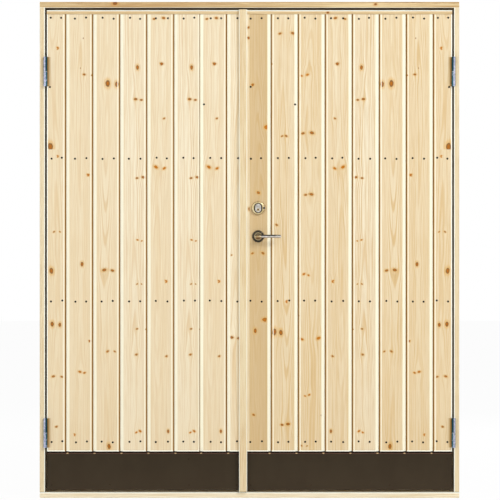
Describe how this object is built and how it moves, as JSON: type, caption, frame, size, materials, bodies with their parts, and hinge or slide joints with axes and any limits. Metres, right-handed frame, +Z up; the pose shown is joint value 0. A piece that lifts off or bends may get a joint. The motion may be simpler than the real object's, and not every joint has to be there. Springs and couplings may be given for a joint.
{
  "type": "double barn door",
  "caption": "Outward-opening pair of boarded pine leaves in a rebated frame, with lift-off hinges, lever lock, kick plates and a meeting strip.",
  "frame": {"origin": "middle of the sill's underside, at mid depth of the frame", "axes": "+X to the right seen from outside, +Y into the building, +Z up"},
  "size_m": [1.768, 0.169, 2.09],
  "materials": {
    "pine": "bare planed pine",
    "kick_panel": "dark brown phenolic film on plywood",
    "zinc_plated_steel": "galvanised",
    "nickel_plated": "satin nickel",
    "brown_screw": "brown lacquer",
    "seal_rubber": "matt"
  },
  "bodies": {
    "frame": {"frame_head": "pine", "frame_sill": "pine", "left_jamb": "pine", "right_jamb": "pine", "frame_seals": "seal_rubber", "hinge_frame_halves": "zinc_plated_steel", "hinge_pins": "zinc_plated_steel", "hinge_washers": "zinc_plated_steel", "hinge_frame_screws": "zinc_plated_steel", "bolt_keeps": "zinc_plated_steel", "keep_screws": "zinc_plated_steel"},
    "right_leaf": {"right_hinge_stile": "pine", "right_meeting_stile": "pine", "right_rails": "pine", "right_boards": "pine", "right_top_strip": "pine", "right_kick_plate": "kick_panel", "right_kick_screws": "brown_screw", "right_hinge_halves": "zinc_plated_steel", "right_hinge_screws": "zinc_plated_steel", "meeting_strip": "pine", "meeting_strip_screws": "zinc_plated_steel", "lock_case": "zinc_plated_steel", "lock_forend": "nickel_plated", "forend_screws": "nickel_plated", "outer_rosette": "nickel_plated", "inner_rosette": "nickel_plated", "turn_rosette": "nickel_plated", "cylinder_ring": "nickel_plated", "lock_cylinder": "nickel_plated"},
    "left_leaf": {"left_hinge_stile": "pine", "left_meeting_stile": "pine", "left_rails": "pine", "left_boards": "pine", "left_top_strip": "pine", "left_kick_plate": "kick_panel", "left_kick_screws": "brown_screw", "left_hinge_halves": "zinc_plated_steel", "left_hinge_screws": "zinc_plated_steel", "strike_plate": "nickel_plated", "strike_screws": "nickel_plated", "bolt_brackets": "zinc_plated_steel", "bracket_screws": "zinc_plated_steel"},
    "lever": {"lock_follower": "zinc_plated_steel", "lever_spindle": "zinc_plated_steel", "outer_lever": "nickel_plated", "inner_lever": "nickel_plated"},
    "latch": {"latch_bolt": "nickel_plated"},
    "dead_bolt": {"dead_bolt": "nickel_plated"},
    "thumb_turn": {"thumb_turn": "nickel_plated"},
    "key_plug": {"key_plug": "nickel_plated"},
    "upper_bolt": {"upper_bolt": "zinc_plated_steel"},
    "lower_bolt": {"lower_bolt": "zinc_plated_steel"}
  },
  "joints": [
    {"name": "right_leaf_hinge", "type": "hinge", "parent": "frame", "child": "right_leaf", "pos_m": [0.8595, -0.0545, 1.035], "axis": [0, 0, 1], "range_deg": [0, 165]},
    {"name": "left_leaf_hinge", "type": "hinge", "parent": "frame", "child": "left_leaf", "pos_m": [-0.8595, -0.0545, 1.035], "axis": [0, 0, 1], "range_deg": [-165, 0]},
    {"name": "lever_turn", "type": "hinge", "parent": "right_leaf", "child": "lever", "pos_m": [0.0365, -0.007, 1.102], "axis": [0, 1, 0], "range_deg": [0, 45], "stiffness_Nm_per_rad": 0.6, "springref_deg": -51.57},
    {"name": "latch_slide", "type": "slide", "parent": "right_leaf", "child": "latch", "axis": [-1, 0, 0], "range_m": [0, 0.013]},
    {"name": "dead_bolt_slide", "type": "slide", "parent": "right_leaf", "child": "dead_bolt", "axis": [-1, 0, 0], "range_m": [0, 0.02]},
    {"name": "thumb_turn_turn", "type": "hinge", "parent": "right_leaf", "child": "thumb_turn", "pos_m": [0.0365, 0.01, 1.221], "axis": [0, 1, 0], "range_deg": [0, 90]},
    {"name": "key_turn", "type": "hinge", "parent": "right_leaf", "child": "key_plug", "pos_m": [0.0365, -0.046, 1.214], "axis": [0, 1, 0], "range_deg": [0, 90]},
    {"name": "upper_bolt_slide", "type": "slide", "parent": "left_leaf", "child": "upper_bolt", "axis": [0, 0, 1], "range_m": [0, 0.02]},
    {"name": "lower_bolt_slide", "type": "slide", "parent": "left_leaf", "child": "lower_bolt", "axis": [0, 0, -1], "range_m": [0, 0.02]}
  ],
  "couplings": [
    {"joint": "left_leaf_hinge", "follows": "right_leaf_hinge", "ratio": -1},
    {"joint": "thumb_turn_turn", "follows": "dead_bolt_slide", "rad_per_m": 78.54},
    {"joint": "key_turn", "follows": "dead_bolt_slide", "rad_per_m": 78.54}
  ]
}
